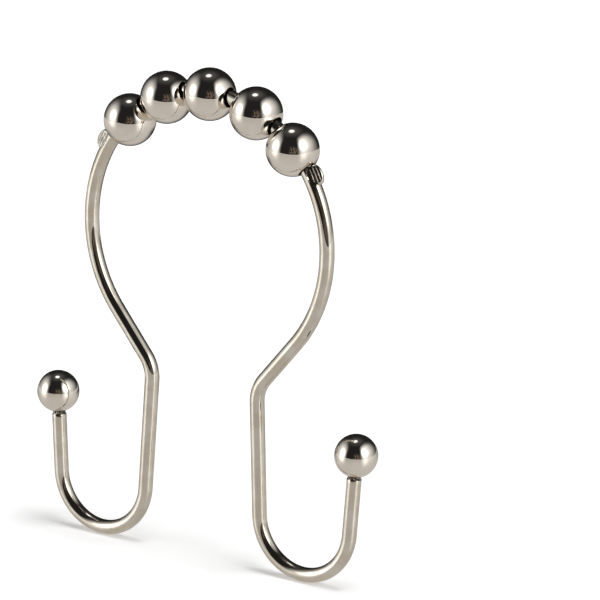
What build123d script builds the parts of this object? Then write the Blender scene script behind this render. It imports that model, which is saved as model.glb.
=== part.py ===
from build123d import *
from math import asin, cos, degrees, radians, sin, sqrt
import os

os.makedirs("parts", exist_ok=True)

# The hook is bent from one wire in the XZ plane. The origin is the centre of
# the ring that goes over the rod, +X is the right arm and +Z is up.
# Lengths are in millimetres and angles in degrees.
wire_dia = 2.8
ring_radius = 27.2
ring_angle = 130.2
arm_run = 10.7
neck_radius = 6.7
neck_angle = 43.2
leg_run = 21.7
throat_radius = 10.25
throat_angle = 173.3
tip_run = 15.7

# Rollers threaded on the crown of the ring, and the spaces they leave between
# them and at the stops. They lie apart to the right of the crown roller.
roller_dia = 10.0
roller_gap = 0.1
crown_gap = 0.85
left_stop_gap = 0.85
right_stop_gap = 0.08
running_clearance = 0.2
roller_hang = 0.12
bore_edge = 0.1

# Stops, where the outer side of the wire is pinched into a flat ear.
ear_length = 3.9
ear_width = 2.6
ear_thickness = 1.3
ear_reach = 1.5
ear_edge = 0.25
die_angle = 12

# Balls on the two ends of the wire. Each is welded on a pin that is turned on
# the wire's end, and stands off the wire's shoulder by the height of the weld.
tip_ball_dia = 8.2
pin_dia = 2.2
pin_fit = 0.03
socket_depth = 3.2
weld_height = 0.35

# A straight bore on a bent wire needs the wire's rise within the roller. The
# wire runs clear all along a roller set inward by half of that rise, and the
# roller hangs a little lower, within its running clearance.
wire_radius = wire_dia / 2
roller_radius = roller_dia / 2
wire_rise = ring_radius - sqrt(ring_radius**2 - roller_radius**2)
bore_dia = wire_dia + wire_rise + 2 * running_clearance
roller_circle = ring_radius - wire_rise / 2 - roller_hang

# Angles from the crown, counted towards +X, of each roller and of the stops.
# A roller's reach is how far its ball extends along the wire at the ear.
ear_circle = ring_radius + wire_radius + ear_reach - ear_width / 2
ear_offset = ear_circle - roller_circle
roller_reach = sqrt(roller_radius**2 - ear_offset**2)
end_pitches = [
    degrees(asin((gap + roller_reach + ear_length / 2) / ear_circle))
    for gap in (left_stop_gap, right_stop_gap)
]
roller_pitches = [
    2 * degrees(asin((roller_dia + gap) / 2 / roller_circle))
    for gap in (roller_gap, roller_gap, crown_gap, roller_gap)
]
stop_angle = (sum(end_pitches) + sum(roller_pitches)) / 2
roller_angles = [end_pitches[0] - stop_angle]
for pitch in roller_pitches:
    roller_angles.append(roller_angles[-1] + pitch)


def on_circle(radius, angle):
    """Point in the XZ plane at an angle from the crown."""
    return Vector(radius * sin(radians(angle)), 0, radius * cos(radians(angle)))


def along_circle(angle):
    """Direction of the wire at an angle from the crown, towards +X."""
    return Vector(cos(radians(angle)), 0, -sin(radians(angle)))


with BuildLine(Plane.XZ) as right_half:
    ring = JernArc(
        start=(0, ring_radius), tangent=(1, 0), radius=ring_radius, arc_size=-ring_angle
    )
    arm = Line(ring @ 1, ring @ 1 + (ring % 1) * arm_run)
    neck = JernArc(start=arm @ 1, tangent=arm % 1, radius=neck_radius, arc_size=neck_angle)
    leg = Line(neck @ 1, neck @ 1 + (neck % 1) * leg_run)
    throat = JernArc(
        start=leg @ 1, tangent=leg % 1, radius=throat_radius, arc_size=throat_angle
    )

tip_direction = throat % 1
tip_centre = throat @ 1 + tip_direction * tip_run
shoulder = tip_centre - tip_direction * (tip_ball_dia / 2 + weld_height)
tip_planes = [
    Plane(
        origin=(side * tip_centre.X, 0, tip_centre.Z),
        z_dir=(-side * tip_direction.X, 0, -tip_direction.Z),
    )
    for side in (-1, 1)
]
pin_planes = [plane.offset(tip_ball_dia / 2 - socket_depth) for plane in tip_planes]

stop_planes = [
    Plane(origin=on_circle(ear_circle, angle), x_dir=along_circle(angle), z_dir=(0, -1, 0))
    for angle in (-stop_angle, stop_angle)
]

with BuildPart() as ear:
    with BuildSketch():
        Ellipse(ear_length / 2, ear_width / 2)
    extrude(amount=ear_thickness / 2, both=True)
    fillet(ear.faces().filter_by(GeomType.PLANE).edges(), radius=ear_edge)

with BuildPart() as die_marks:
    with BuildSketch(Plane.XY.offset(ear_thickness / 2)):
        Ellipse(ear_length / 2, ear_width / 2)
    extrude(amount=wire_radius, taper=-die_angle)
    mirror(about=Plane.XY)

with BuildPart() as wire_frame:
    with BuildLine() as centreline:
        add(right_half.line)
        Line(throat @ 1, shoulder)
        mirror(about=Plane.YZ)
    path = centreline.wire()
    with BuildSketch(Plane(origin=path @ 0, z_dir=path % 0)):
        Circle(wire_radius)
    sweep(path=path)
    with BuildSketch(*pin_planes):
        Circle(pin_dia / 2)
    extrude(amount=socket_depth + weld_height)
    with Locations(*stop_planes):
        add(die_marks.part, mode=Mode.SUBTRACT)
        add(ear.part)
wire_frame.part.label = "wire_frame"
export_step(wire_frame.part, "parts/wire_frame.step")

for number, angle in enumerate(roller_angles, start=1):
    bore_plane = Plane(origin=on_circle(roller_circle, angle), z_dir=along_circle(angle))
    with BuildPart(bore_plane) as roller:
        Sphere(roller_radius)
        Hole(radius=bore_dia / 2)
        rims = roller.edges().filter_by(GeomType.CIRCLE).group_by(SortBy.RADIUS)[0]
        chamfer(rims, length=bore_edge)
    roller.part.label = f"roller_ball_{number}"
    export_step(roller.part, f"parts/roller_ball_{number}.step")

for plane, name in zip(tip_planes, ("tip_ball_left", "tip_ball_right")):
    with BuildPart(plane) as tip_ball:
        Sphere(tip_ball_dia / 2)
        with BuildSketch(plane.offset(tip_ball_dia / 2)):
            Circle(pin_dia / 2 + pin_fit)
        extrude(amount=-socket_depth, mode=Mode.SUBTRACT)
    tip_ball.part.label = name
    export_step(tip_ball.part, f"parts/{name}.step")
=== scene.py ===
import math
import bmesh
import bpy
from mathutils import Matrix, Vector


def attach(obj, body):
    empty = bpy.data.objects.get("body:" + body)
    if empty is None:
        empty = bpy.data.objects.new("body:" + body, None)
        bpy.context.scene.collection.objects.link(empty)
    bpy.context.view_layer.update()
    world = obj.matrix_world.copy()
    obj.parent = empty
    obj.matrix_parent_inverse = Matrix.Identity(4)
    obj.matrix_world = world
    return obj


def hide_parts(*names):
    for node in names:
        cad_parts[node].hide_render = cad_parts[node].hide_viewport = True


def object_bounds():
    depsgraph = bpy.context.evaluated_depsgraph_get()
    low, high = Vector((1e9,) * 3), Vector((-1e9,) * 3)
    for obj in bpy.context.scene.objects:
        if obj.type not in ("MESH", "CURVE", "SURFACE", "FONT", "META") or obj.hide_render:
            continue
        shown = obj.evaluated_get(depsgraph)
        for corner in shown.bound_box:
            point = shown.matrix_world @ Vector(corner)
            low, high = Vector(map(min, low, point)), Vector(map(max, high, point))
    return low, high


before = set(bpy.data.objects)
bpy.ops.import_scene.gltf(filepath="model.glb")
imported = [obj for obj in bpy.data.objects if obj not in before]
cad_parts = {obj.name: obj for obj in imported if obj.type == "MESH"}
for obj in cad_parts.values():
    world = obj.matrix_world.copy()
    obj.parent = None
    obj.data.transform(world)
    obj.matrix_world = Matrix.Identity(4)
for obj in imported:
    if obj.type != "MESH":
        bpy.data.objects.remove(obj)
cadBox = [list(corner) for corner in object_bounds()]
mm = 0.001
near = 0.001 * mm  # a point this near to a ring of points belongs to it
doubled = 0.002 * mm  # points this near to each other are merged
cutSlack = 0.0001 * mm  # a point this near to a cut's plane lies on it


# Selecting and placing

def startPiece(name, addPrimitive, **sizes):
    bpy.ops.object.select_all(action="DESELECT")
    addPrimitive(**sizes)
    piece = bpy.context.object
    piece.name = name
    piece.data.name = name
    bpy.ops.object.mode_set(mode="EDIT")
    bpy.ops.mesh.select_mode(type="VERT")
    return piece


def pick(test):  # selects the points whose place passes the test
    bpy.ops.mesh.select_all(action="DESELECT")
    mesh = bmesh.from_edit_mesh(bpy.context.object.data)
    for point in mesh.verts:
        if test(point.co):
            point.select_set(True)
    mesh.select_flush(True)
    bmesh.update_edit_mesh(bpy.context.object.data)


def cutAbove(place, direction):
    bpy.ops.mesh.select_all(action="SELECT")
    bpy.ops.mesh.bisect(plane_co=place, plane_no=direction, clear_outer=True, threshold=cutSlack)


def endPiece(piece, sharpAngle):
    bpy.ops.mesh.select_all(action="SELECT")
    bpy.ops.mesh.remove_doubles(threshold=doubled)
    bpy.ops.mesh.normals_make_consistent(inside=False)
    bpy.ops.object.mode_set(mode="OBJECT")
    bpy.ops.object.shade_smooth_by_angle(angle=math.radians(sharpAngle))


def applyModifier(piece, kind, **settings):
    modifier = piece.modifiers.new(kind.title(), kind)
    for name, value in settings.items():
        setattr(modifier, name, value)
    bpy.ops.object.modifier_apply(modifier=modifier.name)


def placeCopy(piece, name, place):  # a copy with its own mesh, its place in the mesh
    copy = piece.copy()
    copy.data = piece.data.copy()
    copy.name = name
    copy.data.name = name
    bpy.context.scene.collection.objects.link(copy)
    copy.data.transform(place)
    return copy


def aimed(centre, axis):  # turns +Z to the axis and moves the origin to the centre
    across = Vector((0, 1, 0))
    side = across.cross(axis)
    turn = Matrix((side, across, axis)).transposed().to_4x4()
    return Matrix.Translation(centre) @ turn


# Wire: one round wire, spun and extruded from the crown down to the tip, then mirrored

wire = {
    "radius": 1.4 * mm,
    "sides": 112,
    "faceLength": 0.75 * mm,
    "bendFaceLength": 0.375 * mm,
    "ringRadius": 27.2 * mm,
    "ringAngle": 130.2,
    "armRun": 10.7 * mm,
    "neckRadius": 6.7 * mm,
    "neckAngle": 43.2,
    "legRun": 21.7 * mm,
    "throatRadius": 10.25 * mm,
    "throatAngle": 173.3,
    "endRun": 11.17 * mm,
    "shoulder": ((1.38 * mm, 0.05 * mm), (1.31 * mm, 0.03 * mm), (1.1 * mm, 0)),  # radius, run
    "pinRun": 3.54 * mm,
    "seam": 0.01 * mm,  # points this near to the mirror's plane are merged
    "sharpAngle": 40,
}
ear = {
    "ringAngle": 58.288,
    "zone": 6.5,  # degrees of the ring on each side of the ear that get short faces
    "faceLength": 0.09 * mm,
    "length": 3.9 * mm,
    "width": 2.6 * mm,
    "middle": 1.6 * mm,
    "halfThickness": 0.74 * mm,
    "faceTilt": 0.36,
    "edge": 0.2 * mm,
    "wallSlope": 4.5,
    "creaseSoftness": 0.16 * mm,
    "groovePitch": 0.6 * mm,
    "grooveDepth": 0.1 * mm,
    "grooveDrift": 1.2,
}


class WireEnd:  # follows the open end of the wire while it is drawn
    def __init__(self, place, heading):
        self.place = place
        self.heading = heading
        self.stations = [(place, heading)]

    def straight(self, run):
        steps = math.ceil(run / wire["faceLength"])
        for _ in range(steps):
            move = self.heading * run / steps
            bpy.ops.mesh.extrude_region_move(TRANSFORM_OT_translate={"value": move})
            self.place = self.place + move
            self.stations.append((self.place, self.heading))

    def bend(self, radius, angle, faceLength):  # a positive angle turns left, seen from the front
        turn = math.radians(angle)
        left = Vector((-self.heading.z, 0, self.heading.x))
        centre = self.place + left * math.copysign(radius, turn)
        steps = math.ceil(radius * abs(turn) / faceLength)
        bpy.ops.mesh.spin(steps=steps, angle=turn, center=centre, axis=(0, 1, 0))
        step = Matrix.Rotation(-turn / steps, 3, "Y")
        for _ in range(steps):
            self.place = centre + step @ (self.place - centre)
            self.heading = step @ self.heading
            self.stations.append((self.place, self.heading))

    def narrow(self, scale, run):
        self.place = self.place + self.heading * run
        move = {"value": self.heading * run}
        bpy.ops.mesh.extrude_region_move(TRANSFORM_OT_translate=move)
        bpy.ops.transform.resize(value=(scale,) * 3, center_override=self.place)
        self.stations.append((self.place, self.heading))


def drawWire():
    crown = Vector((0, 0, wire["ringRadius"]))
    piece = startPiece(
        "hookWire",
        bpy.ops.mesh.primitive_circle_add,
        vertices=wire["sides"],
        radius=wire["radius"],
        location=crown,
        rotation=(0, math.pi / 2, 0),
    )
    bpy.ops.object.mode_set(mode="OBJECT")
    bpy.ops.object.transform_apply()
    bpy.ops.object.mode_set(mode="EDIT")
    bpy.ops.mesh.select_all(action="SELECT")
    end = WireEnd(crown, Vector((1, 0, 0)))
    toEar = ear["ringAngle"] - ear["zone"]
    overEar = 2 * ear["zone"]
    end.bend(wire["ringRadius"], -toEar, wire["faceLength"])
    end.bend(wire["ringRadius"], -overEar, ear["faceLength"])
    end.bend(wire["ringRadius"], toEar + overEar - wire["ringAngle"], wire["faceLength"])
    end.straight(wire["armRun"])
    end.bend(wire["neckRadius"], wire["neckAngle"], wire["bendFaceLength"])
    end.straight(wire["legRun"])
    end.bend(wire["throatRadius"], wire["throatAngle"], wire["bendFaceLength"])
    end.straight(wire["endRun"])
    radius = wire["radius"]
    for nextRadius, run in wire["shoulder"]:
        end.narrow(nextRadius / radius, run)
        radius = nextRadius
    end.straight(wire["pinRun"])
    bpy.ops.mesh.edge_face_add()
    bpy.ops.object.mode_set(mode="OBJECT")
    return piece, end


def noteDrawing(piece, end):  # where each point lay before the straight wire was bent, in mm
    drawn = piece.data.attributes.new("drawn", "FLOAT_VECTOR", "POINT")
    sides = wire["sides"]
    along = 0
    for number, (place, heading) in enumerate(end.stations):
        if number:
            along += (place - end.stations[number - 1][0]).length
        outward = Vector((heading.z, 0, -heading.x))
        for index in range(number * sides, (number + 1) * sides):
            reach = piece.data.vertices[index].co - place
            drawn.data[index].vector = Vector((reach.dot(outward), reach.y, along)) / mm


def grownReach(out, along):  # how far out of the ring's line the die drives a point
    share = max(0, 1 - (along / (ear["length"] / 2)) ** 2)
    bulge = ear["width"] / 2 * math.sqrt(share)
    inner = ear["middle"] - bulge
    outer = max(wire["radius"], ear["middle"] + bulge)
    if out <= inner:
        return out
    return inner + (out - inner) * (outer - inner) / (wire["radius"] - inner)


# The half thickness that the die leaves, and 1 on the ear's face, 0 off it
def dieLimit(grown, along):
    halfLength, halfWidth = ear["length"] / 2, ear["width"] / 2
    oval = math.hypot(along / halfLength, (grown - ear["middle"]) / halfWidth)
    limit = ear["halfThickness"] + (ear["middle"] - grown) * ear["faceTilt"]
    limit += max(0, oval - 1) * min(halfLength, halfWidth) * ear["wallSlope"]
    depth = (1 - oval) * halfWidth
    if grown > ear["middle"] and 0 <= depth < ear["edge"]:
        limit -= ear["edge"] - math.sqrt(ear["edge"] ** 2 - (ear["edge"] - depth) ** 2)
    onFace = max(0, min(1, (depth - ear["edge"]) / ear["edge"]))
    turn = 2 * math.pi * (grown - ear["middle"]) / ear["groovePitch"]
    groove = max(0, math.cos(turn + ear["grooveDrift"] * along / halfLength))
    return limit - ear["grooveDepth"] * groove * onFace, onFace


def softLeast(first, second, softness):  # the lesser of two, with a rounded crease between them
    overlap = max(0, softness - abs(first - second))
    return max(0, min(first, second) - overlap**2 / (4 * softness))


def pinchEar(piece):  # a die presses both sides flat and drives the metal outward
    pinched = piece.data.attributes.new("pinched", "FLOAT", "POINT")
    angle = math.radians(ear["ringAngle"])
    outward = Vector((math.sin(angle), 0, math.cos(angle)))
    onward = Vector((math.cos(angle), 0, -math.sin(angle)))
    for number, point in enumerate(piece.data.vertices):
        ringReach = math.hypot(point.co.x, point.co.z)
        out = ringReach - wire["ringRadius"]
        along = point.co.dot(onward)
        onOtherSide = point.co.dot(outward) < 0
        if onOtherSide or abs(along) > ear["length"] or abs(out) > 2 * wire["radius"]:
            continue
        grown = grownReach(out, along)
        limit, onFace = dieLimit(grown, along)
        pinched.data[number].value = onFace if abs(point.co.y) > limit else 0
        across = softLeast(abs(point.co.y), limit, ear["creaseSoftness"])
        scale = (wire["ringRadius"] + grown) / ringReach
        place = (point.co.x * scale, math.copysign(across, point.co.y), point.co.z * scale)
        point.co = Vector(place)


hookWire, wireEnd = drawWire()
noteDrawing(hookWire, wireEnd)
pinchEar(hookWire)
applyModifier(hookWire, "MIRROR", use_axis=(True, False, False), merge_threshold=wire["seam"])
bpy.ops.object.mode_set(mode="EDIT")
endPiece(hookWire, wire["sharpAngle"])
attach(hookWire, "frame")
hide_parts("wire_frame")
print("wire drawn")


# Rollers: a polished ball with a straight bore, modelled once

roller = {
    "radius": 4.994 * mm,
    "segments": 128,
    "rings": 80,
    "boreRadius": 1.832 * mm,
    "boreCuts": 3,
    "boreShade": 3,
    "shadeMargin": 0.01 * mm,
    "rimWidth": 0.08 * mm,
    "rimSoftness": 0.03 * mm,
    "rimSegments": 3,
    "sharpAngle": 60,
    "circle": 26.848 * mm,
    "ringAngles": (-43.39, -21.71, -0.03, 23.29, 44.97),
}


def makeRoller():
    piece = startPiece(
        "rollerBall",
        bpy.ops.mesh.primitive_uv_sphere_add,
        segments=roller["segments"],
        ring_count=roller["rings"],
        radius=roller["radius"],
    )
    rimRadius = roller["boreRadius"] + roller["rimWidth"]
    rimHeight = math.sqrt(roller["radius"] ** 2 - rimRadius**2)
    # A flat cut and a narrow chamfer at each end of the bore
    for side in (-1, 1):
        cutAbove((0, 0, side * rimHeight), (0, 0, side))
        pick(lambda place: abs(place.z - side * rimHeight) < near)
        inward = (0, 0, -side * roller["rimWidth"])
        bpy.ops.mesh.extrude_region_move(TRANSFORM_OT_translate={"value": inward})
        narrower = roller["boreRadius"] / rimRadius
        bpy.ops.transform.resize(value=(narrower, narrower, 1), center_override=(0, 0, 0))
    # The wall of the bore, and then soft edges on its rims
    pick(lambda place: place.xy.length < roller["boreRadius"] + near)
    bpy.ops.mesh.bridge_edge_loops(number_cuts=roller["boreCuts"])
    for height in (rimHeight, rimHeight - roller["rimWidth"]):
        pick(lambda place: abs(abs(place.z) - height) < near and place.xy.length < rimRadius + near)
        bpy.ops.mesh.bevel(
            offset=roller["rimSoftness"], segments=roller["rimSegments"], affect="EDGES"
        )
    endPiece(piece, roller["sharpAngle"])
    # Painted shade in the bore and on its rims, which the nickel plate colours near black
    paintedShade = piece.data.attributes.new("paintedShade", "FLOAT", "POINT")
    for number, point in enumerate(piece.data.vertices):
        if point.co.xy.length < rimRadius + roller["shadeMargin"]:
            paintedShade.data[number].value = roller["boreShade"]
    return piece


rollerBall = makeRoller()
rollers = []
for number, angle in enumerate(roller["ringAngles"], start=1):
    turn = math.radians(angle)
    centre = Vector((math.sin(turn), 0, math.cos(turn))) * roller["circle"]
    axis = Vector((math.cos(turn), 0, -math.sin(turn)))
    ball = placeCopy(rollerBall, f"rollerBall{number}", aimed(centre, axis))
    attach(ball, f"roller_{number}")
    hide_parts(f"roller_ball_{number}")
    rollers.append(ball)
bpy.data.objects.remove(rollerBall)
print("rollers threaded")


# Tip balls, each with the weld that holds it on the wire's pin

tip = {
    "radius": 4.094 * mm,
    "segments": 128,
    "rings": 80,
    "centre": (34.909 * mm, 0, -36.532 * mm),
    "weld": (  # radius and height over the ball's centre of each ring, in mm
        (1.34, 3.86),
        (1.22, 3.94),
        (1.16, 4.04),
        (1.15, 4.18),
        (1.17, 4.32),
        (1.21, 4.42),
        (1.12, 4.42),
    ),
    "weldTurns": {"Left": 90, "Right": 0},
    "swell": 0.06,
    "swellBelow": 0.1 * mm,
    "swellAbove": 0.05 * mm,
    "waves": ((3, 0.6, 0.5), (7, 2.1, 0.3)),  # number round the pin, start and height
    "beadHeight": 2.5,
    "beadSharpness": 6,
    "shadeBelow": 0.12 * mm,
    "pinSlack": 0.01 * mm,
    "socketHeight": 0.92 * mm,
    "sharpAngle": 50,
}


def lump(turn):  # how far the weld swells at a turn round the pin
    waves = sum(rise * (1 + math.sin(count * turn + start)) for count, start, rise in tip["waves"])
    bead = max(0, math.cos(turn)) ** tip["beadSharpness"]
    return waves + tip["beadHeight"] * bead


def swellWeld(piece):  # lumps on the weld, and painted shade on it and on the ball just below it
    paintedShade = piece.data.attributes.new("paintedShade", "FLOAT", "POINT")
    pinRadius = tip["weld"][-1][0] * mm + tip["pinSlack"]
    weldBottom, weldTop = tip["weld"][1][1] * mm, tip["weld"][-1][1] * mm
    bottom, top = weldBottom - tip["swellBelow"], weldTop + tip["swellAbove"]
    for number, point in enumerate(piece.data.vertices):
        if point.co.xy.length > pinRadius and point.co.z > weldBottom - tip["shadeBelow"]:
            swell = tip["swell"] * lump(math.atan2(point.co.y, point.co.x))
            share = math.sin(math.pi * (point.co.z - bottom) / (top - bottom))
            point.co.xy = point.co.xy * (1 + swell * share)
            paintedShade.data[number].value = 1


def makeTipBall():
    piece = startPiece(
        "tipBall",
        bpy.ops.mesh.primitive_uv_sphere_add,
        segments=tip["segments"],
        ring_count=tip["rings"],
        radius=tip["radius"],
    )
    radius = tip["weld"][0][0] * mm
    height = math.sqrt(tip["radius"] ** 2 - radius**2)
    cutAbove((0, 0, height), (0, 0, 1))
    pick(lambda place: abs(place.z - height) < near)
    # Up the outside of the weld, and down the pin's socket into the ball
    socketEnd = (tip["weld"][-1][0], tip["socketHeight"] / mm)
    for nextRadius, nextHeight in (*tip["weld"][1:], socketEnd):
        rise = (0, 0, nextHeight * mm - height)
        bpy.ops.mesh.extrude_region_move(TRANSFORM_OT_translate={"value": rise})
        scale = nextRadius * mm / radius
        bpy.ops.transform.resize(value=(scale, scale, 1), center_override=(0, 0, 0))
        radius, height = nextRadius * mm, nextHeight * mm
    bpy.ops.mesh.edge_face_add()
    endPiece(piece, tip["sharpAngle"])
    swellWeld(piece)
    return piece


tipBall = makeTipBall()
tips = []
for side, name in ((-1, "Left"), (1, "Right")):
    centre = Vector(tip["centre"])
    centre.x *= side
    axis = wireEnd.heading * -1
    axis.x *= side
    turned = Matrix.Rotation(math.radians(tip["weldTurns"][name]), 4, "Z")
    ball = placeCopy(tipBall, f"tipBall{name}", aimed(centre, axis.normalized()) @ turned)
    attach(ball, "frame")
    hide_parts(f"tip_ball_{name.lower()}")
    tips.append(ball)
bpy.data.objects.remove(tipBall)
print("tip balls welded")


# Shader sockets that add, subtract and multiply as Python numbers do

class Socket:
    def __init__(self, shader, socket):
        self.shader = shader
        self.socket = socket

    def maths(self, operation, *others):
        inputs = dict(enumerate((self, *others)))
        return self.shader.node("ShaderNodeMath", {"operation": operation}, inputs)

    def __add__(self, other):
        return self.maths("ADD", other)

    def __radd__(self, other):
        return self + other

    def __sub__(self, other):
        return self.maths("SUBTRACT", other)

    def __rsub__(self, other):
        return self * -1 + other

    def __mul__(self, other):
        return self.maths("MULTIPLY", other)

    def __rmul__(self, other):
        return self * other

    def rise(self, low, high):  # 0 at low and 1 at high, with a soft step between
        inputs = {"Value": self, "From Min": low, "From Max": high}
        return self.shader.node("ShaderNodeMapRange", {"interpolation_type": "SMOOTHSTEP"}, inputs)


class Shader:
    def __init__(self, tree):
        self.tree = tree
        tree.nodes.clear()

    def node(self, kind, settings=None, inputs=None, output=0):
        made = self.tree.nodes.new(kind)
        for name, value in (settings or {}).items():
            setattr(made, name, value)
        for name, value in (inputs or {}).items():
            if isinstance(value, Socket):
                self.tree.links.new(value.socket, made.inputs[name])
            else:
                made.inputs[name].default_value = value
        return Socket(self, made.outputs[output]) if made.outputs else None

    def noise(self, place, scale, detail):
        inputs = {"Vector": place, "Scale": scale, "Detail": detail}
        return self.node("ShaderNodeTexNoise", None, inputs)

    def dot(self, first, second):
        inputs = {0: first, 1: second}
        return self.node("ShaderNodeVectorMath", {"operation": "DOT_PRODUCT"}, inputs, "Value")

    def mixColour(self, factor, first, second):
        inputs = {0: factor, 6: first, 7: second}  # the colour sockets of a Mix node
        return self.node("ShaderNodeMix", {"data_type": "RGBA"}, inputs, 2)


def startMaterial(name):
    material = bpy.data.materials.new(name)
    material.use_nodes = True
    return material, Shader(material.node_tree)


def dress(piece, material):
    piece.data.materials.clear()
    piece.data.materials.append(material)


# Nickel plate, thin and dull where a die has pressed it, with painted shade in the bores and round
# the welds

# What a noise shows is a pair: where it starts to show and where it shows fully
nickel = {
    "ball": {
        "pale": (0.80, 0.745, 0.67, 1),
        "warm": (0.76, 0.70, 0.62, 1),
        "roughness": 0.03,
        # the balls' mark is painted shade, near black
        "marksAndShade": "paintedShade",
        "markAndShadeColour": (0.05, 0.038, 0.028, 1),
        "markRoughness": 0.25,
    },
    "wire": {
        "pale": (0.68, 0.635, 0.56, 1),
        "warm": (0.61, 0.555, 0.465, 1),
        "roughness": 0.03,
        "marksAndShade": "pinched",
        "markAndShadeColour": (0.45, 0.42, 0.37, 1),
        "markRoughness": 0.12,
    },
    "cloudSize": 3.0 * mm,
    "clouds": {"detail": 3, "shows": (0.35, 0.65), "height": 0.3},
    "grain": {"finer": 4, "detail": 6, "shows": (0.4, 0.75), "roughness": 0.03},
    "blotches": {"finer": 9, "detail": 5, "shows": (0.68, 0.45)},
    "lines": {
        "stretch": (6, 6, 0.15),
        "scale": 2,
        "detail": 4,
        "shows": (0.45, 0.7),
        "roughness": 0.04,
    },
    "bumpHeight": 0.002 * mm,
    "markHeight": 0.03 * mm,
}


def nickelPlate(name, drawnLines):
    finish = nickel[name]
    clouds, grain, blotches, lines = (nickel[key] for key in ("clouds", "grain", "blotches", "lines"))
    material, shader = startMaterial(f"{name}Nickel")
    place = shader.node("ShaderNodeTexCoord", output="Object")
    scale = 1 / nickel["cloudSize"]
    cloudy = shader.noise(place, scale, clouds["detail"])
    grainy = shader.noise(place, grain["finer"] * scale, grain["detail"])
    colour = shader.mixColour(cloudy.rise(*clouds["shows"]), finish["pale"], finish["warm"])
    roughness = finish["roughness"] + grain["roughness"] * grainy.rise(*grain["shows"])
    height = cloudy * clouds["height"]
    if drawnLines:
        drawn = shader.node("ShaderNodeAttribute", {"attribute_name": "drawn"}, output="Vector")
        stretch = {"Vector": drawn, "Scale": lines["stretch"]}
        stretched = shader.node("ShaderNodeMapping", None, stretch)
        lined = shader.noise(stretched, lines["scale"], lines["detail"])
        roughness = roughness + lines["roughness"] * lined.rise(*lines["shows"])
        height = height + lined
    # On the balls this mask is painted shade in the bores and round the welds, and on the wire it
    # is the die's dull face
    marksAndShade = shader.node("ShaderNodeAttribute", {"attribute_name": finish["marksAndShade"]}, output="Fac")
    blotchy = shader.noise(place, blotches["finer"] * scale, blotches["detail"])
    markedAndShaded = marksAndShade * blotchy.rise(*blotches["shows"])
    colour = shader.mixColour(markedAndShaded, colour, finish["markAndShadeColour"])
    roughness = roughness + markedAndShaded * finish["markRoughness"]
    height = height + blotchy * marksAndShade * (nickel["markHeight"] / nickel["bumpHeight"])
    bump = {"Height": height, "Strength": 1, "Distance": nickel["bumpHeight"]}
    plate = {
        "Base Color": colour,
        "Metallic": 1,
        "Roughness": roughness,
        "Normal": shader.node("ShaderNodeBump", None, bump),
    }
    metal = shader.node("ShaderNodeBsdfPrincipled", None, plate)
    shader.node("ShaderNodeOutputMaterial", None, {"Surface": metal})
    return material


ballNickel = nickelPlate("ball", False)
wireNickel = nickelPlate("wire", True)
dress(hookWire, wireNickel)
for ball in rollers + tips:
    dress(ball, ballNickel)
print("nickel plated")


# Camera, in the photograph's place

view = {
    "yaw": 34.388,
    "pitch": 14.178,
    "roll": 1.463,
    "distance": 729.86 * mm,
    "target": (21.44 * mm, 0, -9.05 * mm),
    "lens": 236.86,
    "sensor": 36,
    "nearest": 10 * mm,
}


def placeCamera():
    yaw, pitch = math.radians(view["yaw"]), math.radians(view["pitch"])
    level = math.cos(pitch)
    aim = Vector((-math.sin(yaw) * level, math.cos(yaw) * level, -math.sin(pitch)))
    right = Vector((math.cos(yaw), math.sin(yaw), 0))
    right = Matrix.Rotation(-math.radians(view["roll"]), 3, aim) @ right
    up = right.cross(aim)
    data = bpy.data.cameras.new("camera")
    data.lens = view["lens"]
    data.sensor_width = view["sensor"]
    data.clip_start = view["nearest"]
    camera = bpy.data.objects.new("camera", data)
    bpy.context.scene.collection.objects.link(camera)
    turn = Matrix((right, up, -aim)).transposed().to_4x4()
    place = Vector(view["target"]) - aim * view["distance"]
    camera.matrix_world = Matrix.Translation(place) @ turn
    bpy.context.scene.camera = camera


placeCamera()
print("camera placed")


# Studio, painted on the world round the hook

# Bearings are degrees to the right of the way from the hook to the camera, and
# elevations are above the horizon. An aim is a bearing and an elevation, and any
# other pair is where a soft edge starts and ends.
studio = {
    "room": 0.019,
    "ceiling": {"aim": (-165, 80), "size": (0, 42), "strength": 0.085},
    "overhead": {"aim": (-148, 81), "size": (3, 12), "strength": 1.9},
    "rightBox": {
        "facing": 70,
        "top": 69,
        "topFade": 26,
        "bottom": (-10, -6),
        "left": (18, 45),
        "right": (30, 150),
        "strength": 1.6,
        "sill": 0.72,
        "core": {"aim": (48, 25), "size": (0, 27), "strength": 3.8},
    },
    "leftBox": {
        "facing": -108,
        "top": 62,
        "topFade": 38,
        "bottom": (-12, -8),
        "left": (-160, -75),
        "right": (-70, -50),
        "strength": 1.3,
        "sill": 0.85,
        "core": {"aim": (-83, 14), "size": (0, 24), "strength": 3.0},
    },
    "sillRise": (0, 25),
    "corner": {"aim": (2, 7), "size": (8, 24), "strength": 0.26},
    "cornerColour": (1, 0.76, 0.58, 1),
    "patches": {"scale": 9, "detail": 2, "shows": (0.4, 0.7)},
}


def bearingVector(bearing, elevation):
    turn = math.radians(view["yaw"] + bearing - 90)
    rise = math.radians(elevation)
    level = math.cos(rise)
    return Vector((math.cos(turn) * level, math.sin(turn) * level, math.sin(rise)))


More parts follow.
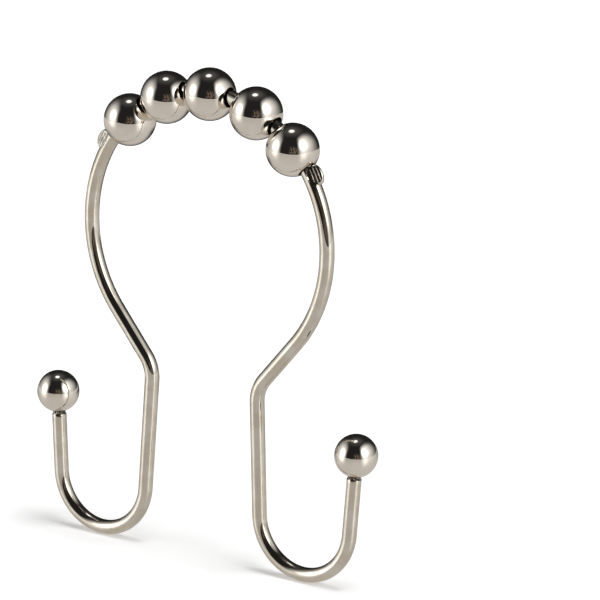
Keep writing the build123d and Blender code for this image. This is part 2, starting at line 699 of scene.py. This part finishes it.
class Sky:  # what shines from each direction round the hook
    def __init__(self, shader):
        self.shader = shader
        self.direction = shader.node("ShaderNodeTexCoord", output="Generated")
        self.elevation = 90 - self.angleFrom((0, 0, 1))
        across = self.along(bearingVector(90, 0))
        self.bearing = across.maths("ARCTAN2", self.along(bearingVector(0, 0))) * (180 / math.pi)

    def along(self, aim):
        return self.shader.dot(self.direction, aim)

    def angleFrom(self, aim):  # in degrees
        return self.along(aim).maths("ARCCOSINE") * (180 / math.pi)

    def spot(self, lamp):  # 1 in the middle of a round lamp and 0 outside it
        return 1 - self.angleFrom(bearingVector(*lamp["aim"])).rise(*lamp["size"])

    def softbox(self, box):
        overTop = bearingVector(box["facing"] + 180, 90 - box["top"])
        mask = self.angleFrom(overTop).rise(90, 90 + box["topFade"])
        mask = mask * self.elevation.rise(*box["bottom"])
        mask = mask * self.bearing.rise(*box["left"])
        mask = mask * (1 - self.bearing.rise(*box["right"]))
        sill = box["sill"] + (1 - box["sill"]) * self.elevation.rise(*studio["sillRise"])
        core = self.spot(box["core"]) * box["core"]["strength"]
        return mask * (sill * box["strength"] + core)


def lightWorld():
    world = bpy.data.worlds.new("studio")
    bpy.context.scene.world = world
    world.use_nodes = True
    shader = Shader(world.node_tree)
    sky = Sky(shader)
    light = studio["room"] + sky.softbox(studio["rightBox"]) + sky.softbox(studio["leftBox"])
    for name in ("ceiling", "overhead"):
        light = light + sky.spot(studio[name]) * studio[name]["strength"]
    patches = studio["patches"]
    patchy = shader.noise(sky.direction, patches["scale"], patches["detail"])
    warm = sky.spot(studio["corner"])
    light = light + warm * patchy.rise(*patches["shows"]) * studio["corner"]["strength"]
    # The camera sees white all round, and the nickel mirrors the light boxes
    toCamera = shader.node("ShaderNodeLightPath", output="Is Camera Ray")
    strength = toCamera + (1 - toCamera) * light
    colour = shader.mixColour(warm * (1 - toCamera), (1, 1, 1, 1), studio["cornerColour"])
    background = shader.node("ShaderNodeBackground", None, {"Color": colour, "Strength": strength})
    shader.node("ShaderNodeOutputWorld", None, {"Surface": background})


# Floor: white paper that the camera sees, and a table top that the nickel mirrors

floorHeight = cadBox[0][2]
paper = {
    "size": 6,
    "glow": 0.28,
    "colour": (1, 1, 1, 1),
}
table = {
    "front": 500 * mm,
    "back": 500 * mm,
    "left": 600 * mm,
    "right": 1000 * mm,
    "below": 0.05 * mm,
    "colour": (1, 0.975, 0.94, 1),
    # The top glows, and its colour is painted dimmer near the hook and paler ahead, with a painted
    # shadow behind the hook
    "glow": 0.38,
    "roughness": 0.2,
    "paleness": 0.8,
    "lightAhead": (300 * mm, 500 * mm),
    "shadowDepth": 0.76,
    "shadowBehind": (-150 * mm, -30 * mm),
    "shadowBeside": (70 * mm, 170 * mm),
}
sun = {
    "aim": (50, 79),
    "strength": 1.35,
    "angle": 24,
}


def layPaper():  # seen by the camera alone, with the hook's shadow on it
    place = (0, 0, floorHeight)
    sheet = startPiece(
        "floorPaper", bpy.ops.mesh.primitive_plane_add, size=paper["size"], location=place
    )
    bpy.ops.object.mode_set(mode="OBJECT")
    material, shader = startMaterial("floorPaper")
    shine = {"Color": paper["colour"], "Strength": paper["glow"]}
    glow = shader.node("ShaderNodeEmission", None, shine)
    matte = shader.node("ShaderNodeBsdfDiffuse", None, {"Color": paper["colour"]})
    both = shader.node("ShaderNodeAddShader", None, {0: glow, 1: matte})
    shader.node("ShaderNodeOutputMaterial", None, {"Surface": both})
    dress(sheet, material)
    for ray in ("diffuse", "glossy", "transmission", "shadow"):
        setattr(sheet, f"visible_{ray}", False)
    return sheet


def hangSun(sheet):  # a soft lamp that shines on the paper alone, for the hook's shadow
    data = bpy.data.lights.new("paperSun", "SUN")
    data.energy = sun["strength"]
    data.angle = math.radians(sun["angle"])
    lamp = bpy.data.objects.new("paperSun", data)
    bpy.context.scene.collection.objects.link(lamp)
    turn = bearingVector(*sun["aim"]).to_track_quat("Z", "Y")
    lamp.matrix_world = turn.to_matrix().to_4x4()
    lamp.light_linking.receiver_collection = bpy.data.collections.new("paperOnly")
    lamp.light_linking.receiver_collection.objects.link(sheet)


def layTable():  # a glowing top with a painted shadow behind the hook, painted paler ahead
    top = startPiece("tableTop", bpy.ops.mesh.primitive_plane_add, size=1)
    length = table["front"] + table["back"]
    width = table["left"] + table["right"]
    bpy.ops.transform.resize(value=(width, length, 1))
    height = floorHeight - table["below"]
    middle = (width / 2 - table["left"], length / 2 - table["front"], height)
    bpy.ops.transform.translate(value=middle)
    bpy.ops.object.mode_set(mode="OBJECT")
    top.data.transform(Matrix.Rotation(math.radians(view["yaw"]), 4, "Z"))
    material, shader = startMaterial("tableTop")
    place = shader.node("ShaderNodeTexCoord", output="Object")
    ahead = shader.dot(place, bearingVector(0, 0))
    beside = shader.dot(place, bearingVector(90, 0)).maths("ABSOLUTE")
    # Painted shadow behind and beside the hook, and painted light rising ahead
    paintedShade = (1 - ahead.rise(*table["shadowBehind"])) * (1 - beside.rise(*table["shadowBeside"]))
    white = table["paleness"] + (1 - table["paleness"]) * ahead.rise(*table["lightAhead"])
    colour = shader.mixColour(white - table["shadowDepth"] * paintedShade, (0, 0, 0, 1), table["colour"])
    finish = {
        "Base Color": colour,
        "Roughness": table["roughness"],
        "Emission Color": colour,
        "Emission Strength": table["glow"],
    }
    surface = shader.node("ShaderNodeBsdfPrincipled", None, finish)
    shader.node("ShaderNodeOutputMaterial", None, {"Surface": surface})
    dress(top, material)
    top.visible_camera = False


lightWorld()
hangSun(layPaper())
layTable()
bpy.context.scene.view_settings.view_transform = "Standard"
print("studio lit")
